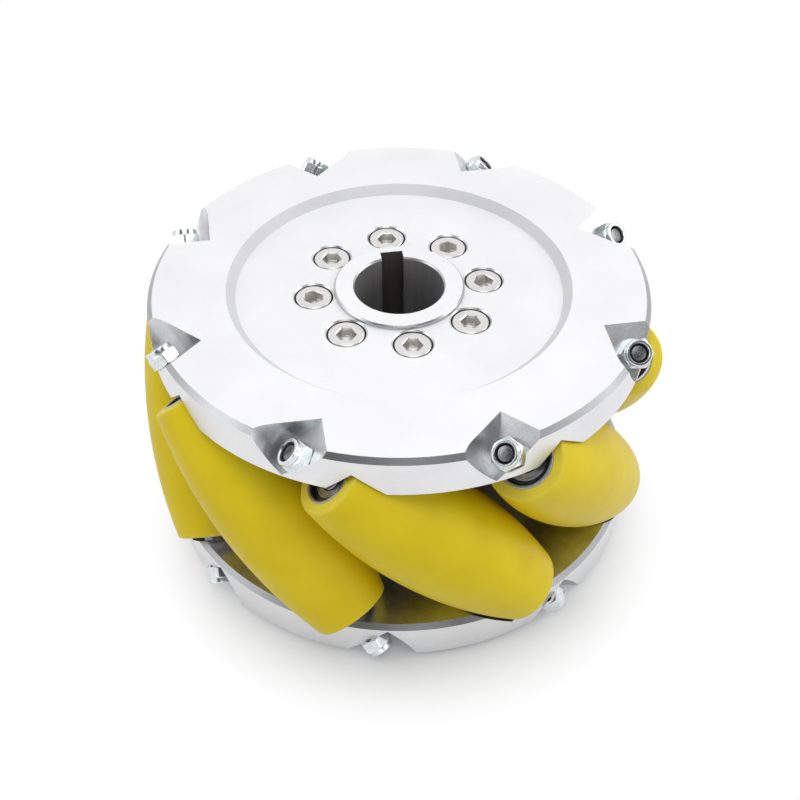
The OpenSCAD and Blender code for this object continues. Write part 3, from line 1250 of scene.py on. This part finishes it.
@dataclass
class Studio:
    """White floor and world, soft lamps and the camera.

    Within shadow_reach of shadow_centre the floor is seen as its grey paper, a
    painted shadow round the wheel, set a little to the front, on top of the real
    one. Dim gives the patch of the world that is left dim for the lamps: its
    middle's height over the horizon, its half width and its fade, in degrees. The
    camera's angles are degrees.
    """

    floor_half: float = 3000.0
    floor_gap: float = 0.05
    # Grey of the paper, which near the wheel shows as a painted shadow on top of the real one.
    floor_tone: str = "#D4D6D9"
    white: str = "#FFFFFF"
    shadow_centre: Triple = (0.0, -14.0, 0.0)
    shadow_reach: Span = (62.0, 92.0)
    shadow_lift: float = 0.06
    azimuth: float = -8.735
    elevation: float = 42.749
    distance: float = 386.37
    yaw: float = -0.030
    pitch: float = -0.681
    roll: float = 0.070
    lens: float = 56.91
    sensor: float = 36.0
    clip: float = 10.0
    dim: Triple = (68.0, 50.0, 7.0)
    dim_glow: float = 0.08
    wall_light: float = 0.75
    lamps: tuple[SoftLamp, ...] = (
        SoftLamp("overhead_soft", (0.0, 50.0, 900.0), 720.0, 1.9),
        SoftLamp("overhead_front_soft", (0.0, -350.0, 820.0), 600.0, 1.95),
        SoftLamp("right_soft", (750.0, 0.0, 550.0), 500.0, 1.8),
        SoftLamp("left_soft", (-750.0, 0.0, 550.0), 500.0, 1.1),
        SoftLamp("front_soft", (0.0, -850.0, 260.0), 500.0, 0.45),
        SoftLamp("front_right_soft", (600.0, -600.0, 330.0), 500.0, 0.5),
    )

    def seen_rays(self, tree: NodeTree) -> Node:
        """Tells the rays that show the background from those that only light the scene.

        Args:
            tree: Node tree that takes the nodes.

        Returns:
            A node that gives 1 for camera, glossy and transmission rays, and otherwise 0.
        """
        path = add(tree, "ShaderNodeLightPath").outputs
        rays = {0: path["Is Glossy Ray"], 1: path["Is Transmission Ray"]}
        rays = {0: path["Is Camera Ray"], 1: add(tree, MATH, rays, operation="MAXIMUM")}
        return add(tree, MATH, rays, operation="MAXIMUM")

    def add_floor(self, level: float) -> None:
        """Lays the floor: pale grey paper, seen white away from the wheel and grey near it as a painted
        shadow on top of the real one.

        Args:
            level: Height of the floor, in metres.
        """
        half = self.floor_half * MM
        corners = [(-half, -half, level), (half, -half, level), (half, half, level), (-half, half, level)]
        mesh = bpy.data.meshes.new("floor")
        mesh.from_pydata(corners, [], [(0, 1, 2, 3)])
        mat = bpy.data.materials.new("floor_paper")
        tree = emptied(mat)
        matt = add(tree, "ShaderNodeBsdfDiffuse", {"Color": linear(self.floor_tone)})
        glow = add(tree, "ShaderNodeEmission", {"Color": linear(self.white), "Strength": 1.0})
        place = add(tree, COORDINATES).outputs["Object"]
        middle = [c * MM for c in self.shadow_centre]
        away = add(tree, "ShaderNodeVectorMath", {0: place, 1: middle}, operation="DISTANCE")
        # Near the wheel the grey paper shows, a painted shadow over the real one; further out the floor is
        # seen white.
        near, far = self.shadow_reach
        fading = spans(away, (near * MM, far * MM), (self.shadow_lift, 1.0))
        white = add(tree, RANGE, fading, interpolation_type="SMOOTHSTEP")
        share = add(tree, MATH, {0: self.seen_rays(tree), 1: white}, operation="MULTIPLY")
        mixed = add(tree, "ShaderNodeMixShader", {0: share, 1: matt, 2: glow})
        add(tree, OUTPUT, {"Surface": mixed})
        link(mesh, "floor_paper", [mat])

    def add_world(self) -> None:
        """Stands white walls all round, with a dim patch overhead and in front for the lamps."""
        world = bpy.data.worlds.new("studio")
        bpy.context.scene.world = world
        tree = emptied(world)
        place = add(tree, COORDINATES).outputs["Generated"]
        tilt, edge, fade = (math.radians(angle) for angle in self.dim)
        towards = (0.0, -math.cos(tilt), math.sin(tilt))
        near = add(tree, "ShaderNodeVectorMath", {0: place, 1: towards}, operation="DOT_PRODUCT")
        fading = spans(near, (math.cos(edge + fade), math.cos(edge - fade)), (1.0, self.dim_glow))
        level = add(tree, RANGE, fading, interpolation_type="SMOOTHSTEP")
        # What is seen, straight or mirrored, is white; the walls' own light is softer.
        share = add(tree, RANGE, spans(self.seen_rays(tree), (0.0, 1.0), (self.wall_light, 1.0)))
        strength = add(tree, MATH, {0: level, 1: share}, operation="MULTIPLY")
        lit = add(tree, "ShaderNodeBackground", {"Color": linear(self.white), "Strength": strength})
        add(tree, "ShaderNodeOutputWorld", {"Surface": lit})

    def add_camera(self) -> None:
        """Puts the camera on its arc and trims its aim by less than a degree."""
        az, el = math.radians(self.azimuth), math.radians(self.elevation)
        back = Vector((math.sin(az) * math.cos(el), -math.cos(az) * math.cos(el), math.sin(el)))
        ahead = -back
        right = Vector((math.cos(az), math.sin(az), 0.0))
        up = right.cross(ahead)
        for axis, degrees in ((up, self.yaw), (right, self.pitch)):
            spin = Matrix.Rotation(math.radians(degrees), 3, axis)
            ahead, right = spin @ ahead, spin @ right
        up = right.cross(ahead)
        spin = Matrix.Rotation(math.radians(self.roll), 3, ahead)
        right, up = spin @ right, spin @ up
        camera = bpy.data.cameras.new("camera")
        camera.sensor_width = self.sensor
        camera.lens = self.lens
        camera.clip_start = self.clip * MM
        holder = bpy.data.objects.new("camera", camera)
        axes = Matrix((right, up, -ahead)).transposed().to_4x4()
        holder.matrix_world = Matrix.Translation(back * self.distance * MM) @ axes
        bpy.context.scene.collection.objects.link(holder)
        bpy.context.scene.camera = holder

    def build(self) -> None:
        """Sets up the floor, world, lamps, camera and view."""
        self.add_floor(CAD_BOX[0].z - self.floor_gap * MM)
        self.add_world()
        for lamp in self.lamps:
            lamp.hang()
        self.add_camera()
        bpy.context.scene.view_settings.view_transform = "Standard"


def main() -> None:
    """Builds the studio and every piece, and notes the sizes."""
    logging.basicConfig(level=logging.INFO, format="%(name)s: %(message)s")
    Studio().build()
    mats = {finish.name: finish.build() for finish in FINISHES}
    for group in (RimPlates(), Hub(), CapScrews(), Treads(), RollerEnds(), Axles(), LockNuts()):
        for piece in group.build(mats):
            LOG.info("%s: %s, %d faces", type(group).__name__, piece.name, len(piece.data.polygons))


if __name__ == "__main__":
    main()
